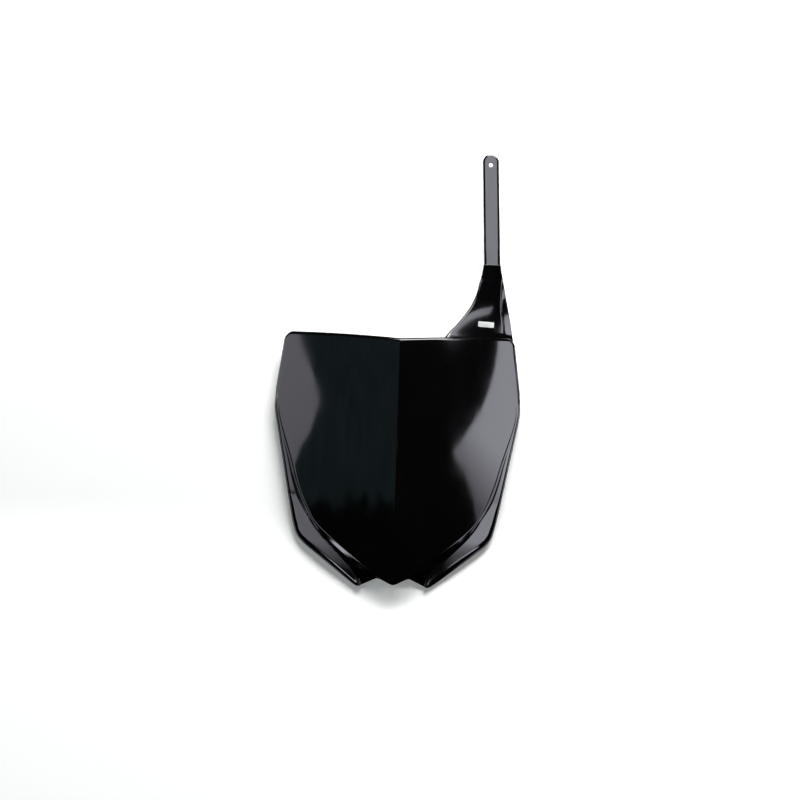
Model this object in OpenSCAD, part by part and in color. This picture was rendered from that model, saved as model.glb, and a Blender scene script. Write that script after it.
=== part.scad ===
// Front number board of an off-road racing motorcycle, one injection moulding.
// X runs to the viewer's right, Y to the back and Z up, as the board is fitted.
// The origin is the middle of the bolt hole in the fixing tab behind the top edge.
// Everything is drawn round the middle of the panel, then moved to that origin.

/* [Panel] */
// Width over the two side corners
panel_w = 244; // [200:1:280]
// Height from the top corners to the points of the fins
panel_h = 250; // [210:1:290]
// Thickness of the moulded wall
wall = 2.2; // [1.8:0.1:2.6]
// Rake of each half beside the middle crease, as a slope
crease_rake = 0.14; // [0.08:0.01:0.22]
// How far the outer half of the panel curves back besides its rake
side_sweep = 28; // [16:1:36]
// How far the upper and lower ends curve back
end_sweep = 9; // [3:1:14]
// How far the top edge bulges above a straight line on each half
top_arch = 0.8; // [0:0.1:2]
// Radius of the two top corners
corner_r = 5; // [3:0.5:8]

/* [Rim and wings] */
// Radius of the rounded rim along the top and the sides
rim_r = 3.4; // [3:0.1:4.5]
// Radius of the rounded rim along the lower edges
lower_rim_r = 1.6; // [1.2:0.1:2.2]
// Depth of the turned-back rim along the top and the sides
rim_depth = 9; // [6:0.5:14]
// Depth of the turned-back rim at the lowest points
lower_rim_depth = 3.6; // [3.2:0.1:6]
// Depth of the gills behind the panel at their mouths
gill_depth = 7; // [4:0.5:9]
// Depth of the step between the panel and the upper wing
step_depth = 3.2; // [1.5:0.1:4.5]

/* [Neck] */
// Height of the neck, from the top corners to the foot of the strap
neck_h = 73; // [60:1:95]
// Width of the neck where it meets the rim
neck_foot_w = 71; // [55:1:75]
// Distance from the middle of the board to the outer end of the neck's foot
neck_foot_x = 113.6; // [100:0.1:116]
// How far the strap's foot lies behind the neck's own foot
neck_lean = 7; // [0:1:16]
// Width of the turned-back edge on the outer side
neck_turn = 9; // [5:0.5:11]
// Width of the slot for the strap
slot_w = 16.1; // [15:0.1:20]
// Height of the slot
slot_h = 5.5; // [4.6:0.1:8]
// Height of the slot's middle above the top corners
slot_up = 12.8; // [12:0.1:20]
// Distance of the slot's middle inside the outer end of the neck's foot
slot_in = 28.7; // [22:0.1:30]

/* [Strap] */
// Length from the neck to the round end
strap_l = 113.5; // [80:0.5:150]
// Width of the strap
strap_w = 16; // [12:0.5:18]
// Thickness of the strap
strap_t = 1.8; // [1.2:0.1:2.2]
// Angle at which the strap leans back
strap_tilt = 9; // [0:1:18]
// Diameter of the hole in the strap's end
strap_hole_d = 4.4; // [3:0.1:6]
// Distance from the strap's end to the middle of that hole
strap_hole_inset = 11; // [9:0.5:20]

/* [Fixing tab and socket] */
// Diameter of the bolt hole in the fixing tab
fix_hole_d = 6.5; // [5:0.1:8.5]
// Distance from the crease to the middle of the bolt hole
fix_reach = 34; // [28:1:45]
// Distance of the tab's upper face below the top corners
fix_drop = 11; // [8:1:20]
// Thickness of the fixing tab
tab_t = 3; // [2.4:0.1:5]
// Width of the tab's round end
tab_w = 19; // [16:1:26]
// Diameter of the socket's bore
socket_d = 10; // [8:0.1:13]
// Depth of the socket's bore
socket_l = 13; // [9:0.5:18]
// Height of the socket's middle above the lowest points of the fins
socket_up = 43; // [36:1:60]
// Wall of the socket
socket_wall = 2.6; // [2:0.1:4]
// Thickness of the ribs
rib_t = 1.8; // [1.4:0.1:2.6]

/* [Hidden] */
$fn = 64;

// The keys below are drawn at this size, then fitted to panel_w and panel_h.
drawn_w = 244;
drawn_h = 250;
drawn_top = 125;
fit_x = panel_w / drawn_w;
fit_z = panel_h / drawn_h;
top_z = drawn_top * fit_z;
low_z = top_z - panel_h;
half_w = panel_w / 2;

// Right-hand edge of the board: share of the way down, then X and Z.
outline_keys = [
    [0, 114, 125], [0.111, 116.2, 107], [0.185, 118.7, 89], [0.259, 121.4, 69],
    [0.32, 122, 55], [0.37, 122, 47.5], [0.407, 120.1, 36.5], [0.52, 112.8, -1],
    [0.6, 106.3, -36], [0.667, 101.2, -62], [0.735, 97.3, -76], [0.77, 91.7, -83],
    [0.82, 72.8, -97], [0.89, 54.4, -111], [0.963, 38.8, -122.6], [1, 34.6, -125]
];
// Edge of the number panel inside the wing, from the side corner to the middle point.
edge_keys = [
    [0.32, 117.9, 54], [0.37, 117.4, 45], [0.407, 115.2, 34.5], [0.48, 107, 10],
    [0.52, 102.5, -3.4], [0.555, 99.6, -14.8], [0.6, 92.9, -35], [0.63, 87.3, -46.5],
    [0.667, 82, -57], [0.7, 78.3, -62.2], [0.74, 71.8, -68.7], [0.77, 65.5, -74.2],
    [0.82, 51.5, -85.3], [0.85, 42.5, -92.4], [0.89, 36, -97.6], [0.93, 29, -103.5],
    [0.963, 22.2, -108.6], [1, 14.8, -113.2]
];
// Where four lines of the wing lie between the panel's edge (0) and the border (1):
// foot of the step, foot of the fin, crest of the fin, outer edge of the leaf facet.
share_keys = [
    [0, 0.2, 0.4, 0.6, 0.8], [0.407, 0.2, 0.42, 0.6, 0.8], [0.6, 0.11, 0.36, 0.45, 0.87],
    [0.667, 0.05, 0.1, 0.16, 0.84], [0.74, 0.07, 0.13, 0.186, 0.81],
    [0.77, 0.08, 0.17, 0.22, 0.82], [0.82, 0.12, 0.27, 0.33, 0.9],
    [0.89, 0.15, 0.4, 0.47, 0.92], [0.93, 0.15, 0.51, 0.59, 0.93],
    [0.963, 0.145, 0.66, 0.745, 0.94], [1, 0.15, 0.86, 0.94, 0.985]
];
// Depth of the same four lines and of the border behind the panel, as shares of
// the depth of the step above the node of the wing and of the gill below it.
depth_keys = [
    [0, 0, 0, 0, 0, 0], [0.31, 0, 0, 0, 0, 0.1], [0.37, 0.25, 0.28, 0.28, 0.36, 0.5],
    [0.48, 0.75, 0.8, 0.75, 0.9, 1.15], [0.6, 1, 1, 0.6, 1.05, 1.55],
    [0.667, 0.25, 0.25, 0.1, 0.6, 0.95], [0.74, 0.5, 0.52, 0.09, 0.63, 1],
    [0.82, 0.75, 0.8, 0.14, 0.68, 0.9], [0.89, 0.9, 0.95, 0.2, 0.66, 0.8],
    [1, 1, 1.05, 0.37, 0.63, 0.74]
];
node_of_wing = 0.667;
// Rim: share of the way down, then the share that remains of the upper rim's size.
rim_keys = [[0, 1], [0.25, 1], [0.36, 0.6], [0.6, 0.4], [0.82, 0.12], [1, 0]];

// Number of rows down the board and of columns over each half of the panel
rows = 38;
panel_cols = 8;
cols = panel_cols + 5;
// The first rows lie close together, to round the top corners.
corner_rows = [0, 0.007, 0.016, 0.03];
corner_share = corner_rows[3];

// Straight interpolation in a list of keys; gives the values after the first.
function keyed(keys, u, i = 0) =
    i >= len(keys) - 2 || u <= keys[i + 1][0]
    ? let (a = keys[i], b = keys[i + 1], m = (u - a[0]) / (b[0] - a[0]))
      [for (k = [1:len(a) - 1]) a[k] + (b[k] - a[k]) * m]
    : keyed(keys, u, i + 1);
function limit(v, low, high) = min(max(v, low), high);
function unit(v) = v / norm(v);
function smooth(m) = let (s = limit(m, 0, 1)) s * s * (3 - 2 * s);

// Depth of the panel's face and its slopes along X and Z, at a place in the plan.
sweep_z0 = 10;
sweep_half = 134;
function panel_y(p) =
    crease_rake * abs(p[0]) + side_sweep * pow(p[0] / half_w, 2)
    + end_sweep * 1.25 * pow((p[1] - sweep_z0) / sweep_half, 2);
function panel_slope(p) = [
    sign(p[0]) * crease_rake + 2 * side_sweep * p[0] / pow(half_w, 2),
    2.5 * end_sweep * (p[1] - sweep_z0) / pow(sweep_half, 2)
];
// A face that slopes needs more depth for the same wall.
function wall_y(p) = wall * sqrt(1 + pow(norm(panel_slope(p)), 2));

function at_row(r) = r < 4 ? corner_rows[r] : (r - 2) / (rows - 2);
function fitted(p) = [p[0] * fit_x, p[1] * fit_z];
function outline_at(u) = fitted(keyed(outline_keys, u));
function rim_share(u) = keyed(rim_keys, u)[0];
function rim_r_at(u) = lower_rim_r + (rim_r - lower_rim_r) * rim_share(u);
function rim_depth_at(u) = lower_rim_depth + (rim_depth - lower_rim_depth) * rim_share(u);

// How far a rim of radius r reaches beyond the border, where the face meets it
// at the slope of the panel in the direction d.
function reach(p, d, r) =
    let (slope = max(panel_slope(p) * d, 0)) r * (1 - slope / sqrt(1 + slope * slope));

// The border of the face lies inside the outline by the reach of the rim.
function outward(u) =
    let (a = outline_at(max(u - 0.012, 0)), b = outline_at(min(u + 0.012, 1)), t = unit(b - a))
    [-t[1], t[0]];
top_reach = reach([0, top_z], [0, 1], rim_r);
low_reach = reach([0, low_z], [0, -1], lower_rim_r);
function border_at(u) =
    let (p = outline_at(u), d = outward(u), run = reach(p, d, rim_r_at(u)))
    u == 0 ? p - [run, top_reach]
    : u < corner_share ? border_at(0) + (border_at(corner_share) - border_at(0)) * u / corner_share
    : u == 1 ? p + [0.1, 1.3 * low_reach]
    : p - d * run;
// Above the side corner the panel's edge keeps close to the border.
edge_gap = 3;
function edge_at(u) =
    u < edge_keys[0][0] ? border_at(u) - [edge_gap, 0] : fitted(keyed(edge_keys, u));
// Middle crease, from the top to the middle point
crease_top = 120.6 * fit_z - top_reach;
crease_low = -122.4 * fit_z + low_reach;
// The lowest point of the panel and the top corners are rounded in the plan: the
// first by a hyperbola, the others by turning the square at the corner into a disc.
tip_round = 2;
function round_corner(p) =
    let (m = border_at(0) - [corner_r, corner_r], a = (p - m) / corner_r,
         b = [min(a[0], 1.2), min(a[1], 1.2)])
    a[0] <= 0 || a[1] <= 0 ? p
    : m + corner_r * [a[0] * sqrt(1 - b[1] * b[1] / 2), a[1] * sqrt(1 - b[0] * b[0] / 2)];

// Place in the plan of row u and column c on the right-hand half. The back of the
// wall is the same grid with its steps moved sideways by back (0 front, 1 back).
function plan(u, c, back) =
    let (edge = edge_at(u), rim = border_at(u), w = norm(rim - edge), d = unit(rim - edge),
         s = keyed(share_keys, u), z = keyed(depth_keys, u),
         step_in = -back * 1.3 * limit(z[0] * 1.5, 0, 1),
         crest_out = back * min(1.2 * limit((z[1] - z[2]) * 2, 0, 1), (s[3] - s[2]) * w / 2),
         crease = [0, crease_top + (crease_low - crease_top) * u], m = c / panel_cols,
         x = edge[0] * m, rise = (edge[1] - crease[1]) / edge[0],
         arch = 4 * top_arch * m * (1 - m) * max(0, 1 - 5 * u))
    c <= panel_cols
    ? crease * (1 - m) + (edge + d * step_in) * m
      + [0, arch + rise * (sqrt(x * x + tip_round * tip_round) - x)]
    : c == panel_cols + 1 ? edge + d * (s[0] * w + step_in)
    : c == panel_cols + 2 ? edge + d * (s[1] * w + crest_out)
    : c == panel_cols + 3 ? edge + d * (s[2] * w + crest_out)
    : c == panel_cols + 4 ? edge + d * s[3] * w
    : rim;
// Depth of the wing's lines behind the panel's face
function wing_y(u, c) =
    let (z = keyed(depth_keys, u),
         full = u < node_of_wing ? step_depth + (gill_depth - step_depth)
                * smooth((u - 0.6) / (node_of_wing - 0.6)) : gill_depth)
    c <= panel_cols ? 0 : z[c - panel_cols - 1] * full;
function mirrored(p, c) = c < 0 ? [-p[0], p[1]] : p;
function grid_plan(r, c, back) = mirrored(round_corner(plan(at_row(r), abs(c), back)), c);

// The border loop, as [row, column]: along the top, down the right-hand side,
// back along the foot and up the left-hand side.
loop = concat(
    [for (c = [-cols:cols]) [0, c]], [for (r = [1:rows]) [r, cols]],
    [for (c = [cols - 1:-1:-cols]) [rows, c]], [for (r = [rows - 1:-1:1]) [r, -cols]]
);
loop_n = len(loop);
loop_plan = [for (k = loop) grid_plan(k[0], k[1], 0)];
loop_out = [for (j = [0:loop_n - 1])
    let (t = unit(loop_plan[(j + 1) % loop_n] - loop_plan[(j + loop_n - 1) % loop_n]))
    [-t[1], t[0]]];
loop_u = [for (k = loop) at_row(k[0])];
loop_y = [for (j = [0:loop_n - 1]) panel_y(loop_plan[j]) + wing_y(loop_u[j], abs(loop[j][1]))];
loop_reach = [for (j = [0:loop_n - 1])
    reach(loop_plan[j], loop_out[j], rim_r_at(loop_u[j]))];
// Place of [row, column] in the loop, or -1 inside the grid
function loop_index(r, c) =
    r == 0 ? c + cols
    : c == cols ? 2 * cols + r
    : r == rows ? 2 * cols + rows + (cols - c)
    : c == -cols ? 4 * cols + rows + (rows - r)
    : -1;

function front_point(r, c) =
    let (p = grid_plan(r, c, 0)) [p[0], panel_y(p) + wing_y(at_row(r), abs(c)), p[1]];
function back_point(r, c) =
    let (q = grid_plan(r, c, 1), j = loop_index(r, c),
         p = j < 0 ? q : q + loop_out[j] * (loop_reach[j] - wall))
    [p[0], panel_y(p) + wing_y(at_row(r), abs(c)) + wall_y(p), p[1]];

// Rings round the rim: three over the rounding, then the rim's rear edge outside
// and inside. The grid's own border comes before them and the back's after them.
round_steps = 3;
function rim_point(j, k) =
    let (p = loop_plan[j], d = loop_out[j], r = rim_r_at(loop_u[j]),
         start = atan(max(panel_slope(p) * d, 0)),
         a = start + (90 - start) * min(k, round_steps) / round_steps,
         q = p + d * r * (sin(a) - sin(start)),
         y = k > round_steps ? rim_depth_at(loop_u[j]) : r * (cos(start) - cos(a)))
    [q[0], loop_y[j] + y, q[1]];
function rim_inside(j) =
    let (b = back_point(loop[j][0], loop[j][1]))
    [b[0], loop_y[j] + rim_depth_at(loop_u[j]), b[2]];

// One closed skin: front grid, rings of the rim, back grid.
module shell() {
    across = 2 * cols + 1;
    front = [for (r = [0:rows]) for (c = [-cols:cols]) front_point(r, c)];
    back = [for (r = [0:rows]) for (c = [-cols:cols]) back_point(r, c)];
    rings = [for (k = [1:round_steps + 1]) for (j = [0:loop_n - 1]) rim_point(j, k)];
    inside = [for (j = [0:loop_n - 1]) rim_inside(j)];
    n_front = len(front);
    n_back = n_front + len(back);
    n_inside = n_back + len(rings);
    function on_front(r, c) = r * across + c + cols;
    function on_back(r, c) = n_front + r * across + c + cols;
    // Index of loop point j on band k: 0 is the front grid, then the rings, the
    // inside of the rear edge and last the back grid.
    function on_band(k, j) =
        let (i = j % loop_n)
        k == 0 ? on_front(loop[i][0], loop[i][1])
        : k <= round_steps + 1 ? n_back + (k - 1) * loop_n + i
        : k == round_steps + 2 ? n_inside + i
        : on_back(loop[i][0], loop[i][1]);
    // Each four-sided cell is cut along the diagonal that is the same on both halves.
    function cell(a, b, c, d, left) =
        left ? [[a, b, d], [b, c, d]] : [[a, b, c], [a, c, d]];
    front_faces = [for (r = [0:rows - 1]) for (c = [-cols:cols - 1])
        each cell(on_front(r, c), on_front(r, c + 1), on_front(r + 1, c + 1),
                  on_front(r + 1, c), c < 0)];
    back_faces = [for (r = [0:rows - 1]) for (c = [-cols:cols - 1])
        each cell(on_back(r, c), on_back(r + 1, c), on_back(r + 1, c + 1),
                  on_back(r, c + 1), c >= 0)];
    band_faces = [for (k = [0:round_steps + 2]) for (j = [0:loop_n - 1])
        each cell(on_band(k, j), on_band(k + 1, j), on_band(k + 1, j + 1),
                  on_band(k, j + 1), false)];
    polyhedron(
        points = concat(front, back, rings, inside),
        faces = concat(front_faces, back_faces, band_faces)
    );
}

// Neck: edges on its left and right, share of the height then X from neck_foot_x.
neck_left_keys = [[0, 0], [0.05, 0.028], [0.1, 0.071], [0.2, 0.182], [0.31, 0.271],
    [0.41, 0.352], [0.52, 0.414], [0.62, 0.456], [0.76, 0.491], [0.86, 0.522], [1, 0.543]];
neck_right_keys = [[0, 0], [0.25, 0.0445], [0.49, 0.103], [0.72, 0.159], [0.9, 0.205], [1, 0.221]];
neck_rows = 14;
// The neck starts inside the wall of the rim, behind its rounded lip.
neck_sink = 3.5;
strap_lean = 2;
neck_z0 = top_z - neck_sink;
function neck_z(s) = neck_z0 + (neck_h + neck_sink) * s;
function neck_left(s) = neck_foot_x - neck_foot_w * (1 - keyed(neck_left_keys, s)[0]);
function neck_right(s) = neck_foot_x - neck_foot_w * keyed(neck_right_keys, s)[0];
root_x = (neck_left(1) + neck_right(1)) / 2;
root_y = panel_y([root_x, top_z]) + rim_depth - wall + neck_lean;
// Depth of the neck's face: on the swept rim at the foot, level at the strap.
foot_sweep = 4;
function neck_y(x, s) =
    let (foot = panel_y([x, top_z - top_reach]) + rim_depth - wall
                - foot_sweep * exp(-s * neck_h / 5))
    foot + (root_y - foot) * smooth(s);

// The section across the neck as a closed loop: its face from left to right with
// both edges turned back, then its back the other way.
module neck() {
    // Distance from the nearer edge, turn back, and shift of the back at the turn
    left_side = [[0, 1, 1.2], [0.35, 0.3, 0.6], [1, 0, 0.1]];
    middle = [0.25, 0.5, 0.75];
    right_side = [[1, 0, 0.1], [0.8, 0.08, 0.5], [0, 0.67, 1.2]];
    // The turned edges grow narrower towards the strap.
    function section(s) =
        let (l = neck_left(s), r = neck_right(s), z = neck_z(s), fade = 1 - smooth((s - 0.72) / 0.25),
             turn = neck_turn * (1 - 0.9 * smooth((s - 0.35) / 0.6)), left_turn = 0.25 * turn,
             face = concat(
                 [for (k = left_side) [l + k[0] * left_turn, k[1] * left_turn, k[2]]],
                 [for (m = middle) [l + left_turn + (r - l - left_turn - turn) * m, 0, 0]],
                 [for (k = right_side) [r - k[0] * turn, k[1] * turn, -k[2]]]))
        concat(
            [for (k = face) [k[0], neck_y(k[0], s) + k[1] * fade, z]],
            [for (i = [len(face) - 1:-1:0]) let (k = face[i], x = k[0] + k[2] * fade)
                [x, neck_y(x, s) + k[1] * fade + wall, z]]
        );
    n = 2 * (len(left_side) + len(middle) + len(right_side));
    half = n / 2;
    sections = [for (i = [0:neck_rows]) section(i / neck_rows)];
    sides = [for (i = [0:neck_rows - 1]) for (j = [0:n - 1])
        let (a = i * n + j, b = i * n + (j + 1) % n) each [[a, a + n, b + n], [a, b + n, b]]];
    // The ends are closed in strips between the face and the back.
    function strip(o, j) = let (a = o + j, b = a + 1, c = o + n - 2 - j, d = c + 1) [a, b, c, d];
    foot_faces = [for (j = [0:half - 2]) let (q = strip(0, j))
        each [[q[0], q[1], q[2]], [q[0], q[2], q[3]]]];
    top_faces = [for (j = [0:half - 2]) let (q = strip(neck_rows * n, j))
        each [[q[0], q[2], q[1]], [q[0], q[3], q[2]]]];
    polyhedron(points = [for (s = sections) each s], faces = concat(sides, foot_faces, top_faces));
}

// Moves to the foot of the strap, with Z along the strap and its face to the front.
module on_strap() {
    translate([root_x, root_y, neck_z(1)]) rotate([-strap_tilt, -strap_lean, 0]) children();
}

// The slot is square to the strap.
module slot_cut() {
    depth = 60;
    translate([neck_foot_x - slot_in, root_y - neck_lean, top_z + slot_up])
        rotate([0, -strap_lean, 0]) cube([slot_w, depth, slot_h], center = true);
}

// The strap starts inside the neck and leaves it with a step on both faces.
strap_inset = 0.35;
module strap() {
    overlap = 2;
    on_strap() difference() {
        union() {
            translate([-strap_w / 2, strap_inset, -overlap])
                cube([strap_w, strap_t, strap_l - strap_w / 2 + overlap]);
            translate([0, strap_inset, strap_l - strap_w / 2]) rotate([-90, 0, 0])
                cylinder(h = strap_t, d = strap_w);
        }
        translate([0, -1, strap_l - strap_hole_inset]) rotate([-90, 0, 0])
            cylinder(h = strap_t + 3, d = strap_hole_d);
    }
}

// Middle of the wall behind the panel's face, where ribs and bosses are rooted
function root_at(p) = panel_y(p) + wall * 0.6;

// Fixing tab: a level plate behind the top edge with a round end and a bolt hole.
fix_z = top_z - fix_drop;
module fixing_tab() {
    foot_half = tab_w * 0.9;
    steps = 6;
    level = fix_z - tab_t / 2;
    foot = [for (i = [-steps:steps]) let (x = foot_half * i / steps) [x, root_at([x, level])]];
    difference() {
        translate([0, 0, fix_z - tab_t]) linear_extrude(tab_t) union() {
            polygon(concat(foot, [[tab_w / 2, fix_reach], [-tab_w / 2, fix_reach]]));
            translate([0, fix_reach]) circle(d = tab_w);
        }
        translate([0, fix_reach, fix_z - tab_t - 1]) cylinder(h = tab_t + 2, d = fix_hole_d);
    }
}

// Gusset under the tab: an upright rib from the panel to near the bolt hole.
module gusset(x) {
    drop = 26;
    steps = 5;
    run = fix_reach - fix_hole_d - 3;
    top = fix_z - tab_t / 2;
    wall_line = [for (i = [0:steps]) let (z = top - drop * i / steps) [root_at([x, z]), z]];
    translate([x - rib_t / 2, 0, 0]) rotate([90, 0, 90]) linear_extrude(rib_t)
        polygon(concat(wall_line, [[root_at([x, top - drop]) + 2, top - drop], [run, top]]));
}

// Socket for the peg of the fork clamp: a flared foot on the panel, a round boss,
// and a blind bore open to the back.
socket_z = low_z + socket_up;
socket_r = socket_d / 2 + socket_wall;
socket_floor = panel_y([0, socket_z]) + wall + 5;
module socket() {
    flare = 2.2;
    sides = 32;
    foot_r = socket_r + flare;
    ring = [for (i = [0:sides - 1]) let (a = 360 * i / sides) [cos(a), sin(a)]];
    foot = [for (d = ring) let (p = [d[0] * foot_r, socket_z + d[1] * foot_r])
        [p[0], root_at(p), p[1]]];
    neck_of_foot = [for (d = ring)
        [d[0] * (socket_r - 0.3), socket_floor, socket_z + d[1] * (socket_r - 0.3)]];
    middle_front = [0, root_at([0, socket_z]), socket_z];
    middle_back = [0, socket_floor, socket_z];
    polyhedron(
        points = concat(foot, neck_of_foot, [middle_front, middle_back]),
        faces = [for (i = [0:sides - 1]) let (j = (i + 1) % sides)
            each [[i, j, i + sides], [j, j + sides, i + sides],
                  [i, 2 * sides, j], [i + sides, j + sides, 2 * sides + 1]]]
    );
    difference() {
        translate([0, socket_floor - 1.5, socket_z]) rotate([-90, 0, 0])
            cylinder(h = socket_l + 1.5, r = socket_r);
        translate([0, socket_floor, socket_z]) rotate([-90, 0, 0])
            cylinder(h = socket_l + 1, d = socket_d);
    }
}

// Ribs beside the socket, from its boss out along the back of the panel.
module socket_rib(side) {
    run = 20;
    steps = 6;
    start = socket_r - 1;
    top = socket_floor + socket_l * 0.55;
    line = [for (i = [0:steps]) let (x = side * (start + run * i / steps)) [x, root_at([x, socket_z])]];
    end = line[steps];
    translate([0, 0, socket_z - rib_t / 2])
        linear_extrude(rib_t) polygon(concat(line, [[end[0], end[1] + 2], [side * start, top]]));
}

module number_board() {
    color([0.03, 0.03, 0.035]) translate([0, -fix_reach, -fix_z + tab_t / 2]) {
        shell();
        difference() {
            neck();
            slot_cut();
        }
        strap();
        fixing_tab();
        for (side = [-1, 1]) gusset(side * tab_w * 0.4);
        socket();
        for (side = [-1, 1]) socket_rib(side);
    }
}

number_board();
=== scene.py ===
"""Front number board of an off-road motorcycle: its finished surfaces and a plain studio.

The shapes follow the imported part. Sizes are in metres, X to the viewer's right, Y to
the back and Z up, with the origin in the bolt hole of the fixing tab.
"""

import bpy
import numpy as np
from mathutils import Matrix, Vector


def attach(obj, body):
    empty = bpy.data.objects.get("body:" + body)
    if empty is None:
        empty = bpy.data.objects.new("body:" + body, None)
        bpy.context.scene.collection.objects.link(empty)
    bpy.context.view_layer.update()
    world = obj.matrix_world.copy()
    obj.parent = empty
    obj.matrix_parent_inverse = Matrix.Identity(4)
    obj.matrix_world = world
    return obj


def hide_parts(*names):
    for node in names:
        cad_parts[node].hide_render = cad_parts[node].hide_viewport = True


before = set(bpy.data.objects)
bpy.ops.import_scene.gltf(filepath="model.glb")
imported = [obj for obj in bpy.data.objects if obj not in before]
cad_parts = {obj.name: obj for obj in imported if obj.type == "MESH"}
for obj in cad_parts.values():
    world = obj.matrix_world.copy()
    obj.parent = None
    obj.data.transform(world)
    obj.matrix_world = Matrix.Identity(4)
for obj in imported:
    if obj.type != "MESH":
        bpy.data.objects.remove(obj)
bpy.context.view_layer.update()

bl_info = {
    "name": "Racing number board",
    "version": (1, 0, 0),
    "blender": (4, 5, 0),
    "location": "3D View > Sidebar > Board",
    "description": "Builds a moulded number board and the studio round it",
    "category": "Add Mesh",
}

MM = 0.001

# The tables are drawn at this size round the middle of the panel, in millimetres.
DRAWN_W, DRAWN_H, DRAWN_TOP = 244.0, 250.0, 125.0
# Rows of the moulding down the side, and how far down the second of them lies
ROWS, CORNER_SHARE = 36, 0.03
# Right-hand outline: share of the way down, X and Z
OUTLINE_KEYS = [
    (0, 114, 125), (0.111, 116.2, 107), (0.185, 118.7, 89), (0.259, 121.4, 69), (0.32, 122, 55),
    (0.37, 122, 47.5), (0.407, 120.1, 36.5), (0.52, 112.8, -1), (0.6, 106.3, -36),
    (0.667, 101.2, -62), (0.735, 97.3, -76), (0.77, 91.7, -83), (0.82, 72.8, -97),
    (0.89, 54.4, -111), (0.963, 38.8, -122.6), (1, 34.6, -124.8),
]
# Panel's edge inside the wing: share of the way down, X and Z
EDGE_KEYS = [
    (0.32, 117.9, 54), (0.37, 117.4, 45), (0.407, 115.2, 34.5), (0.48, 107, 10),
    (0.52, 102.5, -3.4), (0.555, 99.6, -14.8), (0.6, 92.9, -35), (0.63, 87.3, -46.5),
    (0.667, 82, -57), (0.7, 78.3, -62.2), (0.74, 71.8, -68.7), (0.77, 65.5, -74.2),
    (0.82, 51.5, -85.3), (0.85, 42.5, -92.4), (0.89, 36, -97.6), (0.93, 29, -103.5),
    (0.963, 22.2, -108.6), (1, 14.8, -113.2),
]
# Foot of the step, foot of the fin, crest of the fin and outer edge of the leaf facet,
# as shares of the way from the panel's edge to the border
SHARE_KEYS = [
    (0, 0.2, 0.4, 0.6, 0.8), (0.407, 0.2, 0.42, 0.6, 0.8), (0.6, 0.11, 0.36, 0.45, 0.87),
    (0.667, 0.05, 0.1, 0.16, 0.82), (0.74, 0.11, 0.15, 0.2, 0.79),
    (0.77, 0.16, 0.2, 0.25, 0.79), (0.82, 0.24, 0.29, 0.35, 0.83),
    (0.89, 0.26, 0.41, 0.48, 0.87), (0.93, 0.22, 0.51, 0.59, 0.9),
    (0.963, 0.16, 0.66, 0.745, 0.94), (1, 0.15, 0.86, 0.94, 0.985),
]
# Depth of the same lines and of the border behind the panel's face, as shares
DEPTH_KEYS = [
    (0, 0, 0, 0, 0, 0), (0.31, 0, 0, 0, 0, 0.1), (0.37, 0.25, 0.28, 0.28, 0.36, 0.5),
    (0.48, 0.75, 0.8, 0.75, 0.9, 1.15), (0.6, 1, 1, 0.6, 1.05, 1.55),
    (0.667, 0.16, 0.18, 0.1, 0.6, 0.95), (0.74, 0.26, 0.3, 0.09, 0.63, 1),
    (0.82, 0.46, 0.55, 0.14, 0.68, 1.1), (0.89, 0.6, 0.78, 0.2, 0.66, 1.05),
    (1, 1, 1.05, 0.37, 0.63, 0.95),
]
# Share of the upper rim's size that remains, down the side
RIM_KEYS = [(0, 1), (0.25, 1), (0.36, 0.6), (0.6, 0.4), (0.82, 0.12), (1, 0)]
# Neck's left and right edge: share of its height, share of its foot's width
NECK_LEFT_KEYS = [
    (0, 0), (0.05, 0.028), (0.1, 0.071), (0.2, 0.182), (0.31, 0.271), (0.41, 0.352),
    (0.52, 0.414), (0.62, 0.456), (0.76, 0.491), (0.86, 0.522), (1, 0.543),
]
NECK_RIGHT_KEYS = [
    (0, 0), (0.25, 0.0445), (0.49, 0.103), (0.72, 0.159), (0.9, 0.205), (1, 0.221),
]


def length(label, description, default_mm):
    """A length setting, stored in metres."""
    return bpy.props.FloatProperty(
        name=label, description=description, default=default_mm * MM,
        subtype="DISTANCE", unit="LENGTH",
    )


def angle(label, description, degrees):
    """An angle setting, stored in radians."""
    return bpy.props.FloatProperty(
        name=label, description=description, default=np.radians(degrees),
        subtype="ANGLE", unit="ROTATION",
    )


def ratio(label, description, default):
    """A setting without a unit."""
    return bpy.props.FloatProperty(name=label, description=description, default=default)


def colour(label, description, hex_code):
    """A colour setting, given as an sRGB hex value and stored as linear light."""
    return bpy.props.FloatVectorProperty(
        name=label, description=description, default=linear(hex_code),
        subtype="COLOR", size=3, min=0, max=1,
    )


def linear(hex_code):
    """Turns an sRGB hex value into linear red, green and blue."""
    srgb = np.array([int(hex_code[i:i + 2], 16) for i in (1, 3, 5)]) / 255
    light = np.where(srgb <= 0.04045, srgb / 12.92, ((srgb + 0.055) / 1.055) ** 2.4)
    return tuple(float(v) for v in light)


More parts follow.
